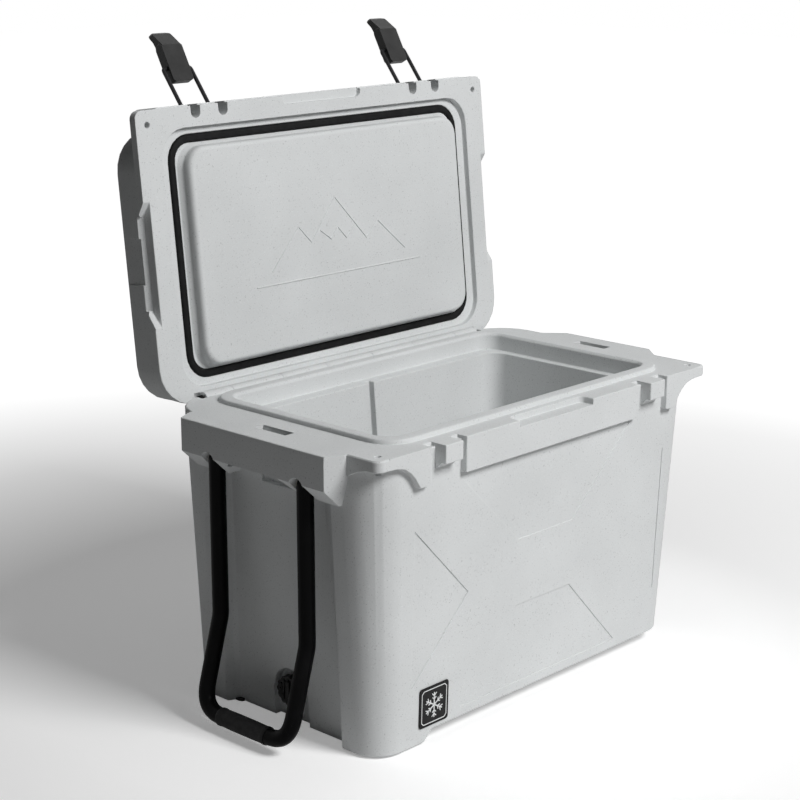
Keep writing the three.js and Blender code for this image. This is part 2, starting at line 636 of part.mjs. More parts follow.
function handleTube() {
  const y = HANDLE.y;
  const knee = -240;
  const low = [-39.5, -379];
  const path = [
    [0, -y, 0], [0, -y, knee], [low[0], -y, low[1]], [low[0], y, low[1]], [0, y, knee], [0, y, 0],
  ];
  const bends = [60, 40, 40, 60];
  const tube = tubeAlong(path, bends, HANDLE.tube, 12, 56);
  const ends = [-1, 1].map((side) => ball(0, side * y, 0, HANDLE.tube));
  const bores = [-1, 1].map((side) => rodY(0, side * (y - 20), side * (y + 20), 0, BUSH + GAP));
  return cut(join(tube, ...ends), ...bores);
}

function handleGrip() {
  const half = HANDLE.gripHalf;
  const outer = rodY(-39.5, -half + 3, half - 3, -379, HANDLE.grip, 24);
  const ends = [-1, 1].map((side) => rodY(-39.5, side * (half - 3), side * half, -379, HANDLE.grip - 0.6, 24));
  return cut(join(outer, ...ends), rodY(-39.5, -half - 5, half + 5, -379, HANDLE.tube + GAP, 24));
}

function handlePin(side) {
  const x = HANDLE.x;
  return join(
    rodY(x, side * (PIN_SEAT - 3), side * 125.5, HANDLE.z, PIN, 16),
    rodY(x, side * (PIN_SEAT - 3.6), side * (PIN_SEAT - GAP), HANDLE.z, PIN + 1.8, 16),
  );
}

function handleBush(side) {
  const y = side * HANDLE.y;
  return cut(
    rodY(HANDLE.x, y - 11.5, y + 11.5, HANDLE.z, BUSH),
    rodY(HANDLE.x, y - 20, y + 20, HANDLE.z, PIN + GAP),
  );
}

// Wheels, drawn about the axle; inner is the side nearer the middle of the cooler

function wheelTyre(side) {
  const y0 = side * WHEEL.inner;
  const y1 = side * WHEEL.outer;
  const soft = side * 4;
  const tread = rodY(0, y0 + soft, y1 - soft, 0, WHEEL.radius, 32);
  const walls = rodY(0, y0, y1, 0, WHEEL.radius - 2.5, 32);
  return cut(join(tread, walls), rodY(0, y0 - side * 5, y1 + side * 5, 0, WHEEL.hub + GAP, 32));
}

function wheelHub(side) {
  const y0 = side * (WHEEL.inner + 1);
  const y1 = side * (WHEEL.outer - 1);
  const disc = rodY(0, y0, y1, 0, WHEEL.hub, 32);
  const outside = cut(
    rodY(0, y1 - side * 9, y1 + side, 0, WHEEL.hub - 5, 28), rodY(0, y1 - side * 12, y1 + side * 3, 0, 13));
  const spokes = Array.from({ length: 5 }, (_, i) => {
    const angle = 2 * Math.PI * i / 5;
    return rod([0, y1 - side * 5, 0], [30 * Math.cos(angle), y1 - side * 5, 30 * Math.sin(angle)], 3.6, 8);
  });
  const whole = join(cut(disc, outside), ...spokes.map((spoke) => (
    spoke.intersect(rodY(0, y0, y1, 0, WHEEL.hub - 1, 28)))));
  return cut(whole, rodY(0, y0 - side * 5, y1 + side * 5, 0, WHEEL.bore));
}

function axleRing(side, from, to, radius) {
  return cut(
    rodY(WHEEL.x, side * from, side * to, WHEEL.radius, radius),
    rodY(WHEEL.x, side * (from - 5), side * (to + 5), WHEEL.radius, AXLE + GAP),
  );
}

function clampScrewPlaces() {
  return [-1, 1].flatMap((side) => [-18, 18].map((dx) => [WHEEL.x + dx, side * CLAMP_AT]));
}

// A clamp closes the groove under the axle
function axleClamp(side) {
  const y0 = side * CLAMP_AT - 12;
  const y1 = side * CLAMP_AT + 12;
  const foot = block(WHEEL.x - 26, WHEEL.x + 26, y0, y1, UNDERSIDE - 3.3, UNDERSIDE - GAP);
  const post = block(WHEEL.x - 8.6, WHEEL.x + 8.6, y0, y1, UNDERSIDE - 3, WHEEL.radius);
  return cut(
    join(foot, post), rodY(WHEEL.x, y0 - 5, y1 + 5, WHEEL.radius, AXLE + GAP),
    ...screwHoles(0),
  );
}

function clampScrew([x, y]) {
  const top = UNDERSIDE - 3.3 - GAP;
  return join(rodZ(x, y, top - 3, top, 4.6, 12), rodZ(x, y, top - 1, 36, 2.5, 10));
}

// Drain

function drainTube() {
  const outside = DRAIN.floor - GAP;
  return cut(
    join(
      rodX(outside - 3, outside, 0, DRAIN.z, 17), rodX(outside - 1, DRAIN.inside + 9, 0, DRAIN.z, DRAIN.bore - GAP)),
    rodX(outside - 10, DRAIN.inside + 20, 0, DRAIN.z, 7.5, 16),
  );
}

function drainNut() {
  return cut(
    rodX(DRAIN.inside + GAP, DRAIN.inside + 7, 0, DRAIN.z, 17, 8),
    rodX(DRAIN.inside - 5, DRAIN.inside + 20, 0, DRAIN.z, DRAIN.bore),
  );
}

const DRAIN_SEAL = [-334.9, -332.6];

function drainSeal() {
  return cut(rodX(...DRAIN_SEAL, 0, DRAIN.z, 14), rodX(-340, -330, 0, DRAIN.z, 7.6, 16));
}

function drainPlug() {
  const inner = DRAIN_SEAL[0] - GAP;
  const outer = -349;
  const flutes = 12;
  const cuts = Array.from({ length: flutes }, (_, i) => {
    const angle = 2 * Math.PI * (i + 0.5) / flutes;
    const out = DRAIN.knob + 1.4;
    return rodX(outer - 5, inner - 3, out * Math.cos(angle), DRAIN.z + out * Math.sin(angle), 3, 8);
  });
  return join(
    cut(rodX(outer, inner, 0, DRAIN.z, DRAIN.knob, 48), ...cuts),
    rodX(inner - 1, DRAIN.floor + 14, 0, DRAIN.z, 7.2, 16),
  );
}

// Badge: a bare plate on the front wall

const BADGE = { x: -248, z: 59, half: 31, thick: 1.4 };

function badgePlate() {
  const outline = rounded(
    BADGE.x - BADGE.half, BADGE.x + BADGE.half, BADGE.z - BADGE.half, BADGE.z + BADGE.half, 5, 4);
  const face = -WALL_LOW.side - GAP;
  return alongY(outline, face - BADGE.thick, face, -WALL_SLOPE.side);
}

// The cooler, put together as photographed: lid open, latches up, handle hanging

const cooler = new THREE.Group();
const degrees = THREE.MathUtils.degToRad;

cooler.add(
  node('body_shell', bodyShell(), moulding),
  node('body_foam', bodyFoamSpace(SHELL + GAP), foam),
  node('body_fill_plug', rodZ(BODY_FILL.x, 0, UNDERSIDE, UNDERSIDE + 5, BODY_FILL.radius - GAP), moulding),
  node('badge_plate', badgePlate(), black),
);
padSpaces(GAP).forEach((pad, i) => cooler.add(node(`foot_pad_${['front', 'rear'][i]}`, pad, rubber)));

cooler.add(node('hinge_rod', hingeRound(-HINGE_END - 9, HINGE_END + 9, HINGE.rod), steel));
for (const side of [-1, 1]) {
  const cap = cut(
    hingeRound(side * (HINGE_END + GAP), side * (HINGE_END + 6), 7.5), hingeRound(-340, 340, HINGE.bore));
  cooler.add(node(`hinge_rod_cap_${side < 0 ? 'left' : 'right'}`, cap, black));
}

// The lid turns about the hinge axis; inside this group its pieces are drawn as if closed
const lidTurn = new THREE.Group();
lidTurn.position.set(0, HINGE.y, HINGE.z);
lidTurn.rotation.x = -degrees(LID_OPEN);
const lid = new THREE.Group();
lid.position.set(0, -HINGE.y, -HINGE.z);
lidTurn.add(lid);
cooler.add(lidTurn);

lid.add(
  node('lid_shell', lidShell(), moulding),
  node('lid_foam', lidFoamSpace(SHELL + GAP), foam),
  node('lid_fill_plug', rodY(0, LID.rear - 4.5, LID.rear - 0.2, LID_FILL.z, LID_FILL.radius - GAP), moulding),
  node('lid_gasket', lidGasket(), rubber),
);

for (const side of [-1, 1]) {
  const where = side < 0 ? 'left' : 'right';
  const bail = new THREE.Group();
  bail.position.set(side * LATCH_AT, BAIL.y, BAIL.z);
  bail.rotation.x = -degrees(BAIL.rest);
  const lever = new THREE.Group();
  lever.position.set(0, -BAIL.length, 0);
  lever.rotation.x = degrees(LEVER.turn);
  lever.add(node(`latch_lever_${where}`, latchLever(), black));
  bail.add(node(`latch_bail_${where}`, latchBail(), coated), lever);
  lid.add(bail);
}

const handle = new THREE.Group();
handle.position.set(HANDLE.x, 0, HANDLE.z);
handle.add(node('tow_handle_tube', handleTube(), coated), node('handle_grip', handleGrip(), rubber));
cooler.add(handle);
for (const side of [-1, 1]) {
  const where = side < 0 ? 'front' : 'rear';
  cooler.add(
    node(`handle_pivot_pin_${where}`, handlePin(side), steel),
    node(`handle_bushing_${where}`, handleBush(side), nylon),
  );
}

cooler.add(node('wheel_axle', rodY(WHEEL.x, -WELL.outer + 0.8, WELL.outer - 0.8, WHEEL.radius, AXLE), steel));
for (const side of [-1, 1]) {
  const where = side < 0 ? 'front' : 'rear';
  const wheel = new THREE.Group();
  wheel.position.set(WHEEL.x, 0, WHEEL.radius);
  wheel.add(
    node(`wheel_tyre_${where}`, wheelTyre(side), rubber),
    node(`wheel_hub_${where}`, wheelHub(side), black),
  );
  cooler.add(
    wheel,
    node(`axle_washer_${where}`, axleRing(side, 94.8, 97.2, 13), steel),
    node(`axle_cap_${where}`, axleRing(side, 132.8, 135.6, 11), steel),
    node(`axle_clamp_${where}`, axleClamp(side), black),
  );
}
clampScrewPlaces().forEach((place, i) => cooler.add(node(`clamp_screw_${i + 1}`, clampScrew(place), steel)));

cooler.add(
  node('drain_tube', drainTube(), black),
  node('drain_inner_nut', drainNut(), black),
  node('drain_seal', drainSeal(), rubber),
  node('drain_plug', drainPlug(), black),
);

// Put the origin at the middle of the bottom of the whole cooler's box
cooler.updateMatrixWorld(true);
const box = new THREE.Box3().setFromObject(cooler, true);
const middle = box.getCenter(new THREE.Vector3());
cooler.position.set(-middle.x, -middle.y, -box.min.z);
cooler.updateMatrixWorld(true);

export default cooler;
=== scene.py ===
import json
import math

import bmesh
import bpy
from bpy.props import FloatProperty, FloatVectorProperty, IntProperty, PointerProperty
from mathutils import Matrix, Vector
from mathutils.geometry import intersect_point_line
from mathutils.kdtree import KDTree


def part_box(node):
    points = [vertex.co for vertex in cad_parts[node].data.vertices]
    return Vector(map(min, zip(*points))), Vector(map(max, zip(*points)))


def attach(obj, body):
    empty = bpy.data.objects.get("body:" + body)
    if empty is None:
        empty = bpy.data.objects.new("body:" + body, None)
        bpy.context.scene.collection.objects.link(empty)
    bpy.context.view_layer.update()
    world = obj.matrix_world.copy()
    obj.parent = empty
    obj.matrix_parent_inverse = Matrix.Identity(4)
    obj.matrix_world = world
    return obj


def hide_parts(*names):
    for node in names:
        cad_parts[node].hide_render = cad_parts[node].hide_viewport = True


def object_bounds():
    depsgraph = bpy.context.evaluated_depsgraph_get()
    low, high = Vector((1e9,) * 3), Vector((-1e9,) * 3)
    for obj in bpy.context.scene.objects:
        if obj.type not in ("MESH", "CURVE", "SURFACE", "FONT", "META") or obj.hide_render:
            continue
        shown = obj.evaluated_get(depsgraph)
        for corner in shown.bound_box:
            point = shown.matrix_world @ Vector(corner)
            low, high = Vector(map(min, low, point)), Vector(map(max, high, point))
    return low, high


bl_info = {
    "name": "Wheeled cooler looks",
    "version": (1, 0, 0),
    "blender": (4, 5, 0),
    "location": "View3D > Sidebar > Cooler",
    "description": "Dresses the packed wheeled cooler with rounded mouldings, fittings and finishes",
    "category": "Object",
}

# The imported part, and where its joints are

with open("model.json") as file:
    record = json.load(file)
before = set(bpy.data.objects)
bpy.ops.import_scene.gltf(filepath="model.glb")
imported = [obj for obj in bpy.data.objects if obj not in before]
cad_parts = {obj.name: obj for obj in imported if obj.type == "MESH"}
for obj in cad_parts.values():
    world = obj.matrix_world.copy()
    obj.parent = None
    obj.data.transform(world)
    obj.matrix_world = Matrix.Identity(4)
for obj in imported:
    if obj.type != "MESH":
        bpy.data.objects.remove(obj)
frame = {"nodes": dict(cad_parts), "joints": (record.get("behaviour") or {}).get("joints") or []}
CAD_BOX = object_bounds()

JOINTS = {joint["name"]: joint for joint in frame["joints"]}
LEFT_RIGHT = ("left", "right")
FRONT_REAR = ("front", "rear")

# Angles at which the part is drawn, in degrees
LID_OPEN = 95.9
BAIL_REST = 32.0

# The building frame has z = 0 on the ground and x = y = 0 in the middle of the box
HINGE_IN_BOX = Vector((0, 0.2193, 0.452))


def joint_place(name):
    return Vector(JOINTS[name]["pos_m"])


def turned_about(name, degrees):
    """Where a piece drawn about a joint's axis goes, turned by so many degrees about X."""
    return Matrix.Translation(joint_place(name)) @ Matrix.Rotation(math.radians(degrees), 4, "X")


BOX = Matrix.Translation(joint_place("lid_hinge") - HINGE_IN_BOX)
LID = turned_about("lid_hinge", -LID_OPEN) @ Matrix.Translation(-HINGE_IN_BOX)


# Sizes and colours

class COOLER_PG_sizes(bpy.types.PropertyGroup):
    """Sizes of the detail that the looks add."""

    moulded_edge: FloatProperty(
        name="Moulded edge", description="Rounding of the mouldings' edges",
        default=0.0016, min=0.0, unit="LENGTH")
    lever_edge: FloatProperty(
        name="Lever edge", description="Rounding of the latch levers' edges",
        default=0.0022, min=0.0, unit="LENGTH")
    gasket_edge: FloatProperty(
        name="Gasket edge", description="Rounding of the lid gasket's section",
        default=0.0009, min=0.0, unit="LENGTH")
    wire_radius: FloatProperty(
        name="Wire radius", description="Radius of the latch wires",
        default=0.0032, min=0.001, unit="LENGTH")
    tube_radius: FloatProperty(
        name="Tube radius", description="Radius of the tow handle's tube",
        default=0.0125, min=0.001, unit="LENGTH")
    knob_flutes: IntProperty(
        name="Knob flutes", description="Hollows round the drain knob", default=12, min=3)
    tread_blocks: IntProperty(
        name="Tread blocks", description="Blocks round each tyre", default=28, min=8)


class COOLER_PG_finishes(bpy.types.PropertyGroup):
    """Colours of the pieces."""

    moulding: FloatVectorProperty(
        name="Moulding", description="Body and lid plastic",
        subtype="COLOR", size=3, min=0.0, max=1.0, default=(0.70, 0.715, 0.717))
    black: FloatVectorProperty(
        name="Black plastic", description="Latch levers, knob, caps and badge",
        subtype="COLOR", size=3, min=0.0, max=1.0, default=(0.0075, 0.0075, 0.0075))
    coat: FloatVectorProperty(
        name="Black coat", description="Coated wire and tube",
        subtype="COLOR", size=3, min=0.0, max=1.0, default=(0.003, 0.003, 0.0032))
    rubber: FloatVectorProperty(
        name="Rubber", description="Gasket, grip, seal, pads and tyres",
        subtype="COLOR", size=3, min=0.0, max=1.0, default=(0.0065, 0.0065, 0.0067))
    motif: FloatVectorProperty(
        name="Badge motif", description="Pale shapes on the badge",
        subtype="COLOR", size=3, min=0.0, max=1.0, default=(0.82, 0.83, 0.83))


def finishes():
    return bpy.context.scene.cooler_finishes


# Finishes. All of them read Object coordinates, in metres.

BLACK = (0.0, 0.0, 0.0, 1.0)
WHITE = (1.0, 1.0, 1.0, 1.0)


class Nodes:
    """Adds nodes to a material and joins them."""

    def __init__(self, name):
        self.material = bpy.data.materials.new(name)
        self.material.use_nodes = True
        self.tree = self.material.node_tree
        self.shader = self.tree.nodes["Principled BSDF"]
        self.place = self.add("ShaderNodeTexCoord").outputs["Object"]

    def add(self, kind, inputs=(), **settings):
        node = self.tree.nodes.new(kind)
        for key, value in settings.items():
            setattr(node, key, value)
        for socket, value in dict(inputs).items():
            if isinstance(value, bpy.types.NodeSocket):
                self.tree.links.new(value, node.inputs[socket])
            else:
                node.inputs[socket].default_value = value
        return node

    def noise(self, scale, detail=2.0, roughness=0.5):
        return self.add("ShaderNodeTexNoise", {
            "Vector": self.place, "Scale": scale, "Detail": detail, "Roughness": roughness,
        }).outputs["Fac"]

    def between(self, value, low, high, to_low=0.0, to_high=1.0):
        return self.add("ShaderNodeMapRange", {
            "Value": value, "From Min": low, "From Max": high, "To Min": to_low, "To Max": to_high,
        }).outputs["Result"]

    def mix(self, amount, first, second):
        node = self.add("ShaderNodeMix", data_type="RGBA")
        for index, value in ((0, amount), (6, first), (7, second)):
            if isinstance(value, bpy.types.NodeSocket):
                self.tree.links.new(value, node.inputs[index])
            else:
                node.inputs[index].default_value = value
        return node.outputs[2]

    def bump(self, height, depth, strength=1.0, under=None):
        inputs = {"Height": height, "Distance": depth, "Strength": strength}
        if under is not None:
            inputs["Normal"] = under
        return self.add("ShaderNodeBump", inputs).outputs["Normal"]

    def finish(self, **inputs):
        for socket, value in inputs.items():
            name = socket.replace("_", " ")
            if isinstance(value, bpy.types.NodeSocket):
                self.tree.links.new(value, self.shader.inputs[name])
            else:
                self.shader.inputs[name].default_value = value
        return self.material


def shade(colour, factor):
    """A colour made lighter or darker, with its alpha."""
    return tuple(min(1.0, channel * factor) for channel in colour) + (1.0,)


def greyer(colour, factor):
    return shade(colour, factor)[:3]


def speckled_plastic(name, colour):
    """Rotomoulded plastic: fine dark and pale specks, faint clouds and a soft matt skin."""
    n = Nodes(name)
    clouds = n.between(n.noise(7.0, 3.0), 0.3, 0.7)
    ground = n.mix(clouds, shade(colour, 0.965), shade(colour, 1.035))
    dark = n.between(n.noise(430.0, 1.5, 0.6), 0.64, 0.72, 0.0, 0.5)
    pale = n.between(n.noise(560.0, 1.0, 0.5), 0.66, 0.74, 0.0, 0.4)
    specked = n.mix(dark, ground, shade(colour, 0.42))
    specked = n.mix(pale, specked, shade(colour, 1.35))
    skin = n.bump(n.noise(900.0, 2.0), 0.00012, 0.5)
    waves = n.bump(n.noise(60.0, 2.0), 0.0004, 0.25, skin)
    gloss = n.between(n.noise(25.0, 3.0), 0.3, 0.7, 0.5, 0.62)
    return n.finish(Base_Color=specked, Roughness=gloss, Normal=waves, Specular_IOR_Level=0.08)


def moulded_black(name, colour, low=0.36, high=0.5):
    """Satin black injection moulding with a fine spark texture."""
    n = Nodes(name)
    clouds = n.between(n.noise(40.0, 3.0), 0.3, 0.7)
    ground = n.mix(clouds, shade(colour, 0.85), shade(colour, 1.25))
    grain = n.bump(n.noise(2600.0, 2.0), 0.00006, 0.6)
    gloss = n.between(n.noise(90.0, 3.0), 0.3, 0.7, low, high)
    return n.finish(Base_Color=ground, Roughness=gloss, Normal=grain, Specular_IOR_Level=0.13)


def black_coat(name, colour, shine=0.03):
    """Powder coat: a slightly pebbled gloss, thinner where hands rub it."""
    n = Nodes(name)
    rubbed = n.between(n.noise(30.0, 4.0), 0.55, 0.8)
    ground = n.mix(rubbed, shade(colour, 1.0), shade(colour, 1.9))
    pebble = n.bump(n.noise(1500.0, 1.0), 0.00008, 0.55)
    gloss = n.between(n.noise(60.0, 3.0), 0.3, 0.7, 0.28, 0.42)
    return n.finish(Base_Color=ground, Roughness=gloss, Normal=pebble, Specular_IOR_Level=shine)


def matt_rubber(name, colour):
    """Rubber with a dusty bloom and a fine grain."""
    n = Nodes(name)
    bloom = n.between(n.noise(55.0, 5.0), 0.45, 0.8, 0.0, 0.6)
    ground = n.mix(bloom, shade(colour, 1.0), shade(colour, 2.2))
    grain = n.bump(n.noise(2000.0, 2.0), 0.00009, 0.7)
    gloss = n.between(n.noise(120.0, 3.0), 0.3, 0.7, 0.6, 0.78)
    return n.finish(Base_Color=ground, Roughness=gloss, Normal=grain, Specular_IOR_Level=0.12)


def plated_steel(name):
    """Zinc-plated steel with fine drawing lines and small stains."""
    n = Nodes(name)
    stains = n.between(n.noise(180.0, 4.0), 0.45, 0.75)
    ground = n.mix(stains, (0.58, 0.59, 0.6, 1.0), (0.42, 0.42, 0.41, 1.0))
    lines = n.bump(n.noise(3200.0, 1.0), 0.00003, 0.5)
    gloss = n.between(stains, 0.0, 1.0, 0.22, 0.42)
    return n.finish(Base_Color=ground, Roughness=gloss, Normal=lines, Metallic=1.0)


def pale_nylon(name):
    """Undyed nylon, faintly uneven."""
    n = Nodes(name)
    ground = n.mix(n.noise(60.0, 3.0), (0.62, 0.6, 0.53, 1.0), (0.72, 0.7, 0.64, 1.0))
    gloss = n.between(n.noise(150.0, 2.0), 0.3, 0.7, 0.38, 0.5)
    grain = n.bump(n.noise(900.0), 0.00005, 0.5)
    return n.finish(Base_Color=ground, Roughness=gloss, Normal=grain)


def blown_foam(name):
    """Poured foam with closed cells."""
    n = Nodes(name)
    cells = n.add("ShaderNodeTexVoronoi", {"Vector": n.place, "Scale": 900.0}).outputs["Distance"]
    clouds = n.between(n.noise(20.0, 4.0), 0.3, 0.7)
    ground = n.mix(clouds, (0.72, 0.64, 0.42, 1.0), (0.82, 0.75, 0.54, 1.0))
    return n.finish(Base_Color=ground, Roughness=0.9, Normal=n.bump(cells, 0.0003, 0.7))


def pale_print(name, colour):
    """Printed and slightly worn pale ink."""
    n = Nodes(name)
    worn = n.between(n.noise(700.0, 4.0), 0.62, 0.8, 0.0, 0.5)
    ground = n.mix(worn, shade(colour, 1.0), shade(colour, 0.55))
    grain = n.bump(n.noise(1800.0), 0.00003, 0.5)
    return n.finish(Base_Color=ground, Roughness=0.45, Normal=grain)


# The levers' plastic and the wires' coat are greyer than the other blacks, by these factors
LATCH_GREY = 4.2
WIRE_GREY = 7.0

FINISHES = {
    "moulding": lambda: speckled_plastic("speckled_plastic", finishes().moulding),
    "latch": lambda: moulded_black("satin_latch_plastic", greyer(finishes().black, LATCH_GREY),
                                   low=0.34, high=0.46),
    "black": lambda: moulded_black("black_plastic", finishes().black),
    "coat": lambda: black_coat("black_powder_coat", finishes().coat),
    "wire": lambda: black_coat("black_wire_coat", greyer(finishes().coat, WIRE_GREY), shine=0.12),
    "rubber": lambda: matt_rubber("matt_rubber", finishes().rubber),
    "steel": lambda: plated_steel("plated_steel"),
    "nylon": lambda: pale_nylon("pale_nylon"),
    "foam": lambda: blown_foam("blown_foam"),
    "motif": lambda: pale_print("pale_motif", finishes().motif),
}
_made = {}


def finish(name):
    """The material of that name, made the first time it is asked for."""
    if name not in _made:
        _made[name] = FINISHES[name]()
    return _made[name]


# Shapes

def piece(name, bm, look, body, stands_for=(), smooth=35.0):
    """Turns a bmesh, already in its place, into a piece that rides on a body."""
    bmesh.ops.recalc_face_normals(bm, faces=bm.faces)
    mesh = bpy.data.meshes.new(name)
    bm.to_mesh(mesh)
    bm.free()
    mesh.shade_smooth()
    mesh.set_sharp_from_angle(angle=math.radians(smooth))
    made = bpy.data.objects.new(name, mesh)
    bpy.context.scene.collection.objects.link(made)
    mesh.materials.append(finish(look))
    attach(made, body)
    if stands_for:
        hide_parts(*stands_for)
    return made


def node_copy(node):
    """A CAD node's solid with its doubles merged and its flat faces cut evenly."""
    merge = 0.00003
    bm = bmesh.new()
    bm.from_mesh(frame["nodes"][node].data)
    bmesh.ops.remove_doubles(bm, verts=bm.verts, dist=merge)
    bmesh.ops.dissolve_degenerate(bm, edges=bm.edges, dist=merge)
    bmesh.ops.dissolve_limit(bm, angle_limit=math.radians(1.2), verts=bm.verts, edges=bm.edges)
    bmesh.ops.triangulate(bm, faces=bm.faces, quad_method="BEAUTY", ngon_method="BEAUTY")
    bmesh.ops.join_triangles(bm, faces=bm.faces, angle_face_threshold=math.radians(0.6),
                             angle_shape_threshold=math.radians(60))
    return bm


def edge_room(edge):
    """How far a rounding may reach from an edge before it meets the next one."""
    length = max(edge.calc_length(), 1e-6)
    room = min(face.calc_area() / length for face in edge.link_faces)
    along = (edge.verts[1].co - edge.verts[0].co) / length
    for vert in edge.verts:
        for other in vert.link_edges:
            if other is edge:
                continue
            reach = other.other_vert(vert).co - vert.co
            across = (reach - along * reach.dot(along)).length
            if across > 0.5 * reach.length:
                room = min(room, across)
    return room


def weigh_edges(bm, width, sharp):
    """Gives each sharp edge the share of the full rounding that it has room for."""
    layers = bm.edges.layers.float
    layer = layers.get("bevel_weight_edge") or layers.new("bevel_weight_edge")
    for edge in bm.edges:
        if edge.is_manifold and edge.calc_face_angle() > math.radians(sharp):
            edge[layer] = min(1.0, 0.35 * edge_room(edge) / width)


def folded_places(made, folded=125.0, least=1e-8):
    """Points where the rounded mesh folds over itself."""
    shown = made.evaluated_get(bpy.context.evaluated_depsgraph_get())
    bm = bmesh.new()
    bm.from_mesh(shown.to_mesh())
    shown.to_mesh_clear()
    bmesh.ops.triangulate(bm, faces=bm.faces)
    bm.normal_update()
    places = []
    for edge in bm.edges:
        if edge.is_manifold and edge.calc_face_angle() > math.radians(folded):
            if min(face.calc_area() for face in edge.link_faces) > least:
                places += [vert.co.copy() for vert in edge.verts]
    bm.free()
    return places


def ease_edges(made, width, rounds=12):
    """Halves the rounding next to each fold until none is left."""
    mesh = made.data
    weights = mesh.attributes["bevel_weight_edge"].data
    corners = [vert.co for vert in mesh.vertices]
    for _ in range(rounds):
        places = folded_places(made)
        if not places:
            return
        near = KDTree(len(places))
        for number, place in enumerate(places):
            near.insert(place, number)
        near.balance()
        for edge in mesh.edges:
            weight = weights[edge.index].value
            if weight == 0.0:
                continue
            start, end = (corners[vert] for vert in edge.vertices)
            middle = (start + end) / 2
            reach = (end - start).length / 2 + 2 * width
            for place, _number, _gap in near.find_range(middle, reach):
                share = min(1.0, max(0.0, intersect_point_line(place, start, end)[1]))
                if (start.lerp(end, share) - place).length < 1.5 * width:
                    weights[edge.index].value = weight / 2
                    break
        mesh.update()
        made.update_tag()
        bpy.context.view_layer.update()


def round_edges(made, width, segments):
    """Rounds the weighed edges of a piece, and keeps its flat faces flat."""
    bevel = made.modifiers.new("rounded_edges", "BEVEL")
    bevel.affect = "EDGES"
    bevel.limit_method = "WEIGHT"
    bevel.width = width
    bevel.segments = segments
    bevel.profile = 0.5
    bevel.material = -1
    bevel.use_clamp_overlap = False
    bpy.context.view_layer.update()
    ease_edges(made, width)
    flat = made.modifiers.new("flat_faces", "WEIGHTED_NORMAL")
    flat.keep_sharp = True
    flat.weight = 100
    return made


def rounded_node(node, name, width, look, body, segments=3, sharp=30.0):
    """A piece with a CAD node's shape and rounded edges, which stands for that node."""
    bm = node_copy(node)
    weigh_edges(bm, width, sharp)
    return round_edges(piece(name, bm, look, body, [node], smooth=60.0), width, segments)


def rounded_path(points, bends, steps=8):
    """Points along straight runs whose corners are rounded: bends holds each corner's radius."""
    path = [Vector(points[0])]
    for before, corner, after, radius in zip(points, points[1:], points[2:], bends):
        corner = Vector(corner)
        into = (corner - Vector(before)).normalized()
        out = (Vector(after) - corner).normalized()
        back = radius * math.tan(into.angle(out) / 2)
        start, end = corner - into * back, corner + out * back
        for i in range(steps + 1):
            t = i / steps
            path.append(start * (1 - t) ** 2 + corner * (2 * t * (1 - t)) + end * t ** 2)
    path.append(Vector(points[-1]))
    return path


def domed_ends(path, radius, steps=6):
    """(point, share of the radius) pairs: the path with a round end at each of its ends."""
    pairs = [(point, 1.0) for point in path]
    for start, neighbour, at_front in ((path[0], path[1], True), (path[-1], path[-2], False)):
        way = (start - neighbour).normalized()
        cap = []
        for i in range(1, steps + 1):
            angle = math.pi / 2 * i / steps
            cap.append((start + way * radius * math.sin(angle), max(0.02, math.cos(angle))))
        pairs = cap[::-1] + pairs if at_front else pairs + cap
    return pairs


def tube_mesh(pairs, radius, sides):
    """A bmesh tube along (point, share of the radius) pairs, closed at both ends."""
    data = bpy.data.curves.new("tube", "CURVE")
    data.dimensions = "3D"
    data.bevel_depth = radius
    data.bevel_resolution = sides // 4
    data.use_fill_caps = True
    spline = data.splines.new("POLY")
    spline.points.add(len(pairs) - 1)
    for point, (place, share) in zip(spline.points, pairs):
        point.co = (*place, 1.0)
        point.radius = share
    holder = bpy.data.objects.new("tube", data)
    bpy.context.scene.collection.objects.link(holder)
    mesh = bpy.data.meshes.new_from_object(holder)
    bpy.data.objects.remove(holder)
    bpy.data.curves.remove(data)
    bm = bmesh.new()
    bm.from_mesh(mesh)
    bpy.data.meshes.remove(mesh)
    bmesh.ops.remove_doubles(bm, verts=bm.verts, dist=1e-6)
    return bm


def spun(profile, steps):
    """A ring turned about the Y axis from a closed profile of (along, radius) points."""
    bm = bmesh.new()
    loop = [bm.verts.new((radius, along, 0)) for along, radius in profile]
    edges = [bm.edges.new((a, b)) for a, b in zip(loop, loop[1:] + loop[:1])]
    bmesh.ops.spin(bm, geom=loop + edges, cent=(0, 0, 0), axis=(0, 1, 0), angle=2 * math.pi,
                   steps=steps, use_merge=True)
    bmesh.ops.remove_doubles(bm, verts=bm.verts, dist=1e-6)
    return bm


def bar(bm, start, end, width, height):
    """A flat bar from one point to another, its height up Z."""
    start, end = Vector(start), Vector(end)
    way = end - start
    turn = Matrix.Rotation(math.atan2(way.y, way.x), 4, "Z")
    size = Matrix.Diagonal((way.length, width, height, 1.0))
    bmesh.ops.create_cube(bm, size=1.0, matrix=Matrix.Translation((start + end) / 2) @ turn @ size)


def finish_node(node, look):
    """Gives a carried-over CAD node its finish."""
    slots = frame["nodes"][node].material_slots
    if not slots:
        frame["nodes"][node].data.materials.append(finish(look))
    for slot in slots:
        slot.material = finish(look)


# Operators, one for each piece or group of like pieces

class COOLER_OT_body(bpy.types.Operator):
    """Make the body moulding with its rounded edges."""

    bl_idname = "cooler.body"
    bl_label = "Body moulding"

    def execute(self, context):
        edge = context.scene.cooler_sizes.moulded_edge
        rounded_node("body_shell", "body_moulding", edge, "moulding", "body")
        finish_node("body_foam", "foam")
        finish_node("body_fill_plug", "moulding")
        for where in FRONT_REAR:
            rounded_node(f"foot_pad_{where}", f"foot_pad_{where}_rounded", 0.001, "rubber",
                         "body")
        return {"FINISHED"}


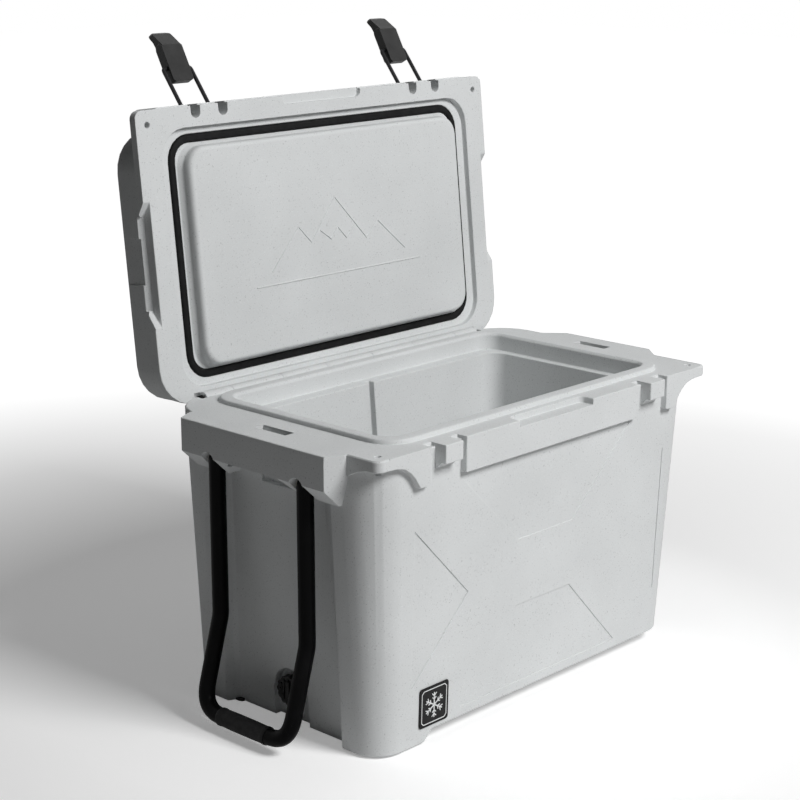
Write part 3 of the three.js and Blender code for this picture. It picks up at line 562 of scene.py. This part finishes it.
class COOLER_OT_lid(bpy.types.Operator):
    """Make the lid moulding, the ridges on its panel and its gasket."""

    bl_idname = "cooler.lid"
    bl_label = "Lid moulding"

    # Plain peaks over a long base line, on the inner face of the lid, in metres
    ridges = (
        ((-0.150, 0.045), (-0.088, -0.018), (-0.062, 0.010), (-0.004, -0.056), (0.062, 0.018),
         (0.090, -0.008), (0.150, 0.045)),
        ((-0.040, -0.006), (-0.018, 0.010), (-0.002, -0.008), (0.016, 0.012), (0.034, -0.004)),
        ((-0.185, 0.066), (0.185, 0.066)),
    )
    panel_height = 0.446
    ridge_radius = 0.0013

    def execute(self, context):
        edge = context.scene.cooler_sizes.moulded_edge
        rounded_node("lid_shell", "lid_moulding", edge, "moulding", "lid")
        whole = bmesh.new()
        for line in self.ridges:
            path = [Vector((x, y, self.panel_height)) for x, y in line]
            part = tube_mesh(domed_ends(path, self.ridge_radius, 3), self.ridge_radius, 12)
            part.transform(LID)
            mesh = bpy.data.meshes.new("ridge")
            part.to_mesh(mesh)
            whole.from_mesh(mesh)
            bpy.data.meshes.remove(mesh)
            part.free()
        piece("lid_panel_ridges", whole, "moulding", "lid", smooth=60.0)
        rounded_node("lid_gasket", "lid_gasket_ring", context.scene.cooler_sizes.gasket_edge,
                     "rubber", "lid", sharp=20.0)
        finish_node("lid_foam", "foam")
        finish_node("lid_fill_plug", "moulding")
        return {"FINISHED"}


class COOLER_OT_latches(bpy.types.Operator):
    """Make the bent latch wires and the levers on their ends."""

    bl_idname = "cooler.latches"
    bl_label = "Latches"

    # The wire's half width, how far its ends lie from the pivot, and where each of them stops
    half = 0.027
    reach = -0.084
    inner = 0.014

    def execute(self, context):
        radius = context.scene.cooler_sizes.wire_radius
        for where in LEFT_RIGHT:
            turn = turned_about(f"latch_bail_hinge_{where}", -LID_OPEN - BAIL_REST)
            corners = [
                (-self.inner, self.reach, 0), (-self.half, self.reach, 0), (-self.half, 0, 0),
                (self.half, 0, 0), (self.half, self.reach, 0), (self.inner, self.reach, 0),
            ]
            path = rounded_path(corners, [0.006, 0.004, 0.004, 0.006])
            wire = tube_mesh(domed_ends(path, radius), radius, 20)
            wire.transform(turn)
            piece(f"latch_wire_{where}", wire, "wire", f"latch_bail_{where}",
                  [f"latch_bail_{where}"], smooth=60.0)
            rounded_node(f"latch_lever_{where}", f"latch_lever_{where}_rounded",
                         context.scene.cooler_sizes.lever_edge, "latch", f"latch_lever_{where}",
                         segments=4, sharp=14.0)
        return {"FINISHED"}


class COOLER_OT_tow_handle(bpy.types.Operator):
    """Make the bent tube of the tow handle and its grip sleeve, and finish its pivots."""

    bl_idname = "cooler.tow_handle"
    bl_label = "Tow handle"

    # From the pivots: the legs' half spacing, the height of their bend, and the cross bar
    half = 0.0925
    knee = -0.240
    low = (-0.0395, -0.379)
    grip_half = 0.051
    grip_radius = 0.014

    def execute(self, context):
        radius = context.scene.cooler_sizes.tube_radius
        place = Matrix.Translation(joint_place("tow_handle_hinge"))
        x, z = self.low
        corners = [
            (0, -self.half, 0), (0, -self.half, self.knee), (x, -self.half, z),
            (x, self.half, z), (0, self.half, self.knee), (0, self.half, 0),
        ]
        path = rounded_path(corners, [0.06, 0.04, 0.04, 0.06], steps=14)
        tube = tube_mesh(domed_ends(path, radius), radius, 36)
        tube.transform(place)
        piece("tow_handle_bent_tube", tube, "coat", "tow_handle",
              ["tow_handle_tube"], smooth=60.0)
        end, outer, inner = self.grip_half, self.grip_radius, radius + 0.0001
        side = [
            (end, inner), (end, outer - 0.0012), (end - 0.0004, outer - 0.0005),
            (end - 0.0014, outer), (end - 0.0050, outer), (end - 0.0062, outer - 0.0005),
            (end - 0.012, outer - 0.0006), (0.020, outer - 0.0002),
        ]
        profile = side + [(-along, r) for along, r in reversed(side)]
        grip = spun(profile, 64)
        grip.transform(place @ Matrix.Translation((x, 0, z)))
        piece("handle_grip_sleeve", grip, "rubber", "tow_handle",
              ["handle_grip"], smooth=50.0)
        for where in FRONT_REAR:
            finish_node(f"handle_pivot_pin_{where}", "steel")
            finish_node(f"handle_bushing_{where}", "nylon")
        return {"FINISHED"}


class COOLER_OT_wheels(bpy.types.Operator):
    """Make the tyres and hubs, and finish the axle and what holds it."""

    bl_idname = "cooler.wheels"
    bl_label = "Wheels"

    half = 0.017
    radius = 0.046
    bore = 0.0333
    shoulder = 0.0085
    notch_scale = 0.975
    steps_per_block = 4

    def tyre_profile(self):
        """The tyre's section as (along the axle, radius) points, mirrored about its middle."""
        half, top = self.half, self.radius
        side = [
            (-half + 0.001, self.bore), (-half, self.bore + 0.002), (-half, top - 0.006),
            (-half + 0.0012, top - 0.0028), (-half + 0.004, top - 0.0006), (-half + 0.006, top),
            (-0.007, top), (-0.0065, top - 0.0014), (-0.0045, top - 0.0014), (-0.004, top),
        ]
        return side + [(-along, r) for along, r in reversed(side)]

    def in_notch(self, place, steps):
        """Whether a point lies between two blocks, on the tread's outer part."""
        turn = math.atan2(place.z, place.x) % (2 * math.pi)
        if round(turn * steps / (2 * math.pi)) % self.steps_per_block != 0:
            return False
        return abs(place.y) > self.shoulder and math.hypot(place.x, place.z) > self.radius - 0.004

    def execute(self, context):
        steps = context.scene.cooler_sizes.tread_blocks * self.steps_per_block
        low = Matrix.Diagonal((self.notch_scale, 1.0, self.notch_scale, 1.0))
        for where in FRONT_REAR:
            place = Matrix.Translation(joint_place(f"wheel_spin_{where}"))
            tyre = spun(self.tyre_profile(), steps)
            for vert in tyre.verts:
                if self.in_notch(vert.co, steps):
                    vert.co = low @ vert.co
            tyre.transform(place)
            piece(f"wheel_tyre_{where}_tread", tyre, "rubber", f"wheel_{where}",
                  [f"wheel_tyre_{where}"], smooth=35.0)
            rounded_node(f"wheel_hub_{where}", f"wheel_hub_{where}_rounded", 0.0006, "black",
                         f"wheel_{where}", segments=2)
            finish_node(f"axle_washer_{where}", "steel")
            finish_node(f"axle_cap_{where}", "steel")
            rounded_node(f"axle_clamp_{where}", f"axle_clamp_{where}_rounded", 0.0006, "black",
                         "body", segments=2)
        finish_node("wheel_axle", "steel")
        for number in range(1, 5):
            finish_node(f"clamp_screw_{number}", "steel")
        return {"FINISHED"}


class COOLER_OT_drain(bpy.types.Operator):
    """Make the fluted drain knob with its stem, and finish the tube, nut and seal."""

    bl_idname = "cooler.drain"
    bl_label = "Drain"

    thick = 0.0139
    radius = 0.0235
    flute_depth = 0.085
    rib_half = 0.0135
    stem_length = 0.0190

    def execute(self, context):
        flutes = context.scene.cooler_sizes.knob_flutes
        bm = bmesh.new()
        sides = flutes * 8
        disc = bmesh.ops.create_circle(bm, cap_ends=True, segments=sides, radius=self.radius)
        for vert in disc["verts"]:
            wave = 0.5 - 0.5 * math.cos(math.atan2(vert.co.y, vert.co.x) * flutes)
            vert.co.xy *= 1.0 - self.flute_depth * wave ** 2
        grown = bmesh.ops.extrude_face_region(bm, geom=bm.faces[:])
        up = [v for v in grown["geom"] if isinstance(v, bmesh.types.BMVert)]
        bmesh.ops.translate(bm, verts=up, vec=(0, 0, self.thick))
        ends = [face for face in bm.faces if len(face.verts) == sides]
        top = max(ends, key=lambda face: face.calc_center_median().z)
        bmesh.ops.inset_region(bm, faces=[top], thickness=0.005, depth=-0.0022)
        bmesh.ops.inset_region(bm, faces=[top], thickness=0.004, depth=0.0)
        rims = [e for e in bm.edges if e.is_manifold and e.calc_face_angle() > math.radians(50)]
        bmesh.ops.bevel(bm, geom=rims, offset=0.0011, offset_type="OFFSET", affect="EDGES",
                        segments=3, profile=0.5, clamp_overlap=True, material=-1)
        rib_height = self.thick - 0.0013
        bar(bm, (-self.rib_half, 0, rib_height), (self.rib_half, 0, rib_height), 0.005, 0.0024)
        stem = Matrix.Translation((0, 0, -self.stem_length / 2))
        bmesh.ops.create_cone(bm, cap_ends=True, segments=24, radius1=0.0068, radius2=0.0072,
                              depth=self.stem_length, matrix=stem)
        low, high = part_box("drain_plug")
        middle = (low + high) / 2
        seat = Matrix.Translation((low.x + self.thick, middle.y, middle.z))
        bm.transform(seat @ Matrix.Rotation(math.radians(-90), 4, "Y"))
        piece("drain_knob", bm, "black", "drain_plug", ["drain_plug"], smooth=40.0)
        finish_node("drain_seal", "rubber")
        finish_node("drain_tube", "black")
        finish_node("drain_inner_nut", "black")
        return {"FINISHED"}


class COOLER_OT_hinge(bpy.types.Operator):
    """Finish the hinge rod and the caps on its ends."""

    bl_idname = "cooler.hinge"
    bl_label = "Hinge rod"

    def execute(self, context):
        finish_node("hinge_rod", "steel")
        for where in LEFT_RIGHT:
            rounded_node(f"hinge_rod_cap_{where}", f"hinge_rod_cap_{where}_rounded", 0.0006,
                         "black", "body", segments=2)
        return {"FINISHED"}


class COOLER_OT_badge(bpy.types.Operator):
    """Make the badge plate with a plain snow crystal on it."""

    bl_idname = "cooler.badge"
    bl_label = "Badge"

    arm = 0.0195
    line = 0.0019
    border = 0.0262
    border_line = 0.0012
    corner_cut = 0.004
    proud = 0.0005

    # The lower front wall's slope where the badge sits, as depth over height
    wall_slope = 0.0286
    half_thick = 0.0007

    def execute(self, context):
        rounded_node("badge_plate", "badge_plate_rounded", 0.0005, "black", "body",
                     segments=2)
        low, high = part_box("badge_plate")
        bm = bmesh.new()
        for k in range(6):
            turn = Matrix.Rotation(math.radians(60 * k + 30), 4, "Z")
            tip = turn @ Vector((self.arm, 0, 0))
            bar(bm, (0, 0, 0), tip, self.line, self.proud)
            for share, reach in ((0.42, 0.0055), (0.70, 0.0065)):
                root = turn @ Vector((self.arm * share, 0, 0))
                for way in (-1, 1):
                    branch = turn @ Vector((self.arm * share + reach * 0.7, way * reach * 0.7, 0))
                    bar(bm, root, branch, self.line * 0.8, self.proud)
        corners = [
            Vector((x * self.border, y * self.border, 0))
            for x, y in ((-1, -1), (1, -1), (1, 1), (-1, 1))
        ]
        for a, b in zip(corners, corners[1:] + corners[:1]):
            cut = (b - a).normalized() * self.corner_cut
            after = Vector((-cut.y, cut.x, 0))
            bar(bm, a + cut, b - cut, self.border_line, self.proud)
            bar(bm, b - cut, b + after, self.border_line, self.proud)
        middle = (low + high) / 2
        sunk = Vector((0, self.half_thick + self.proud * 0.3, 0))
        stand = Matrix.Rotation(math.radians(90) + math.atan(self.wall_slope), 4, "X")
        bm.transform(Matrix.Translation(middle - sunk) @ stand)
        piece("badge_motif", bm, "motif", "body")
        return {"FINISHED"}


class COOLER_OT_stage(bpy.types.Operator):
    """Put up the pale floor, the lamps, the world and the camera."""

    bl_idname = "cooler.stage"
    bl_label = "Stage"

    # The camera as fitted to the photograph, its place in the building frame
    lens = 86.97
    camera_place = (-2.1711, -1.9545, 1.2039)
    camera_azimuth = -46.58
    camera_elevation = 14.81

    def lamp(self, name, towards, distance, size, watts, aim):
        data = bpy.data.lights.new(name, "AREA")
        data.shape = "SQUARE"
        data.size = size
        data.energy = watts
        made = bpy.data.objects.new(name, data)
        bpy.context.scene.collection.objects.link(made)
        way = Vector(towards).normalized()
        made.location = Vector(aim) + way * distance
        made.rotation_euler = way.to_track_quat("Z", "Y").to_euler()

    def seen_directly(self, tree):
        """1 for camera, glossy and transmission rays, else 0."""
        path = tree.nodes.new("ShaderNodeLightPath")
        total = path.outputs["Is Camera Ray"]
        for name in ("Is Glossy Ray", "Is Transmission Ray"):
            add = tree.nodes.new("ShaderNodeMath")
            add.operation = "ADD"
            add.use_clamp = True
            tree.links.new(total, add.inputs[0])
            tree.links.new(path.outputs[name], add.inputs[1])
            total = add.outputs[0]
        return total

    def world(self, scene):
        world = bpy.data.worlds.new("studio")
        scene.world = world
        world.use_nodes = True
        tree = world.node_tree
        tree.nodes.clear()
        strength = tree.nodes.new("ShaderNodeMapRange")
        strength.inputs["To Min"].default_value = 0.015
        strength.inputs["To Max"].default_value = 1.0
        tree.links.new(self.seen_directly(tree), strength.inputs["Value"])
        light = tree.nodes.new("ShaderNodeBackground")
        light.inputs["Color"].default_value = WHITE
        tree.links.new(strength.outputs["Result"], light.inputs["Strength"])
        out = tree.nodes.new("ShaderNodeOutputWorld")
        tree.links.new(light.outputs[0], out.inputs[0])

    def floor(self, ground):
        """A pale ground that fades to white away from the cooler and keeps its shadow."""
        bm = bmesh.new()
        bmesh.ops.create_grid(bm, x_segments=1, y_segments=1, size=12.0)
        bmesh.ops.translate(bm, verts=bm.verts, vec=ground)
        mesh = bpy.data.meshes.new("floor")
        bm.to_mesh(mesh)
        bm.free()
        made = bpy.data.objects.new("floor", mesh)
        bpy.context.scene.collection.objects.link(made)
        n = Nodes("pale_floor")
        away = n.add("ShaderNodeVectorMath", {0: n.place}, operation="LENGTH").outputs["Value"]
        bright = n.between(away, 0.75, 2.0, 0.28, 1.0)
        near = n.between(away, 0.6, 1.5, 0.96, 0.4)
        tone = n.mix(near, BLACK, WHITE)
        seen = self.seen_directly(n.tree)
        lift = n.add("ShaderNodeMath", {0: bright, 1: seen}, operation="MULTIPLY").outputs[0]
        n.finish(Base_Color=tone, Roughness=0.9, Specular_IOR_Level=0.0, Emission_Color=WHITE,
                 Emission_Strength=lift)
        mesh.materials.append(n.material)

    def camera(self, scene):
        data = bpy.data.cameras.new("camera")
        data.lens = self.lens
        data.sensor_width = 36.0
        data.clip_end = 100.0
        made = bpy.data.objects.new("camera", data)
        scene.collection.objects.link(made)
        azimuth, elevation = math.radians(self.camera_azimuth), math.radians(self.camera_elevation)
        level = math.cos(elevation)
        back = Vector((math.sin(azimuth) * level, -math.cos(azimuth) * level, math.sin(elevation)))
        made.location = BOX @ Vector(self.camera_place)
        made.rotation_euler = (-back).to_track_quat("-Z", "Y").to_euler()
        scene.camera = made

    def execute(self, context):
        scene = context.scene
        self.camera(scene)
        middle = BOX @ Vector((0, 0, 0.35))
        self.lamp("key", (0.10, -1.0, 0.88), 4.0, 1.3, 132.0, middle)
        self.lamp("top", (0.8, 0.1, 1.0), 3.4, 2.0, 8.0, middle)
        self.world(scene)
        self.floor(Vector((0, 0, CAD_BOX[0].z)))
        scene.view_settings.view_transform = "Standard"
        return {"FINISHED"}


OPERATORS = (
    COOLER_OT_body, COOLER_OT_lid, COOLER_OT_latches, COOLER_OT_tow_handle, COOLER_OT_wheels,
    COOLER_OT_drain, COOLER_OT_hinge, COOLER_OT_badge, COOLER_OT_stage,
)


class COOLER_PT_panel(bpy.types.Panel):
    """Lists the cooler's pieces and their sizes in the sidebar."""

    bl_idname = "COOLER_PT_panel"
    bl_label = "Wheeled cooler"
    bl_space_type = "VIEW_3D"
    bl_region_type = "UI"
    bl_category = "Cooler"

    def draw(self, context):
        for group in (context.scene.cooler_sizes, context.scene.cooler_finishes):
            box = self.layout.box()
            for name in group.__annotations__:
                box.prop(group, name)
        for operator in OPERATORS:
            self.layout.operator(operator.bl_idname)


CLASSES = (COOLER_PG_sizes, COOLER_PG_finishes, *OPERATORS, COOLER_PT_panel)


def register():
    for cls in CLASSES:
        bpy.utils.register_class(cls)
    bpy.types.Scene.cooler_sizes = PointerProperty(type=COOLER_PG_sizes)
    bpy.types.Scene.cooler_finishes = PointerProperty(type=COOLER_PG_finishes)


def unregister():
    del bpy.types.Scene.cooler_finishes
    del bpy.types.Scene.cooler_sizes
    for cls in reversed(CLASSES):
        bpy.utils.unregister_class(cls)


def main():
    register()
    bpy.ops.cooler.body()
    bpy.ops.cooler.lid()
    bpy.ops.cooler.latches()
    bpy.ops.cooler.tow_handle()
    bpy.ops.cooler.wheels()
    bpy.ops.cooler.drain()
    bpy.ops.cooler.hinge()
    bpy.ops.cooler.badge()
    bpy.ops.cooler.stage()


if __name__ == "__main__":
    main()
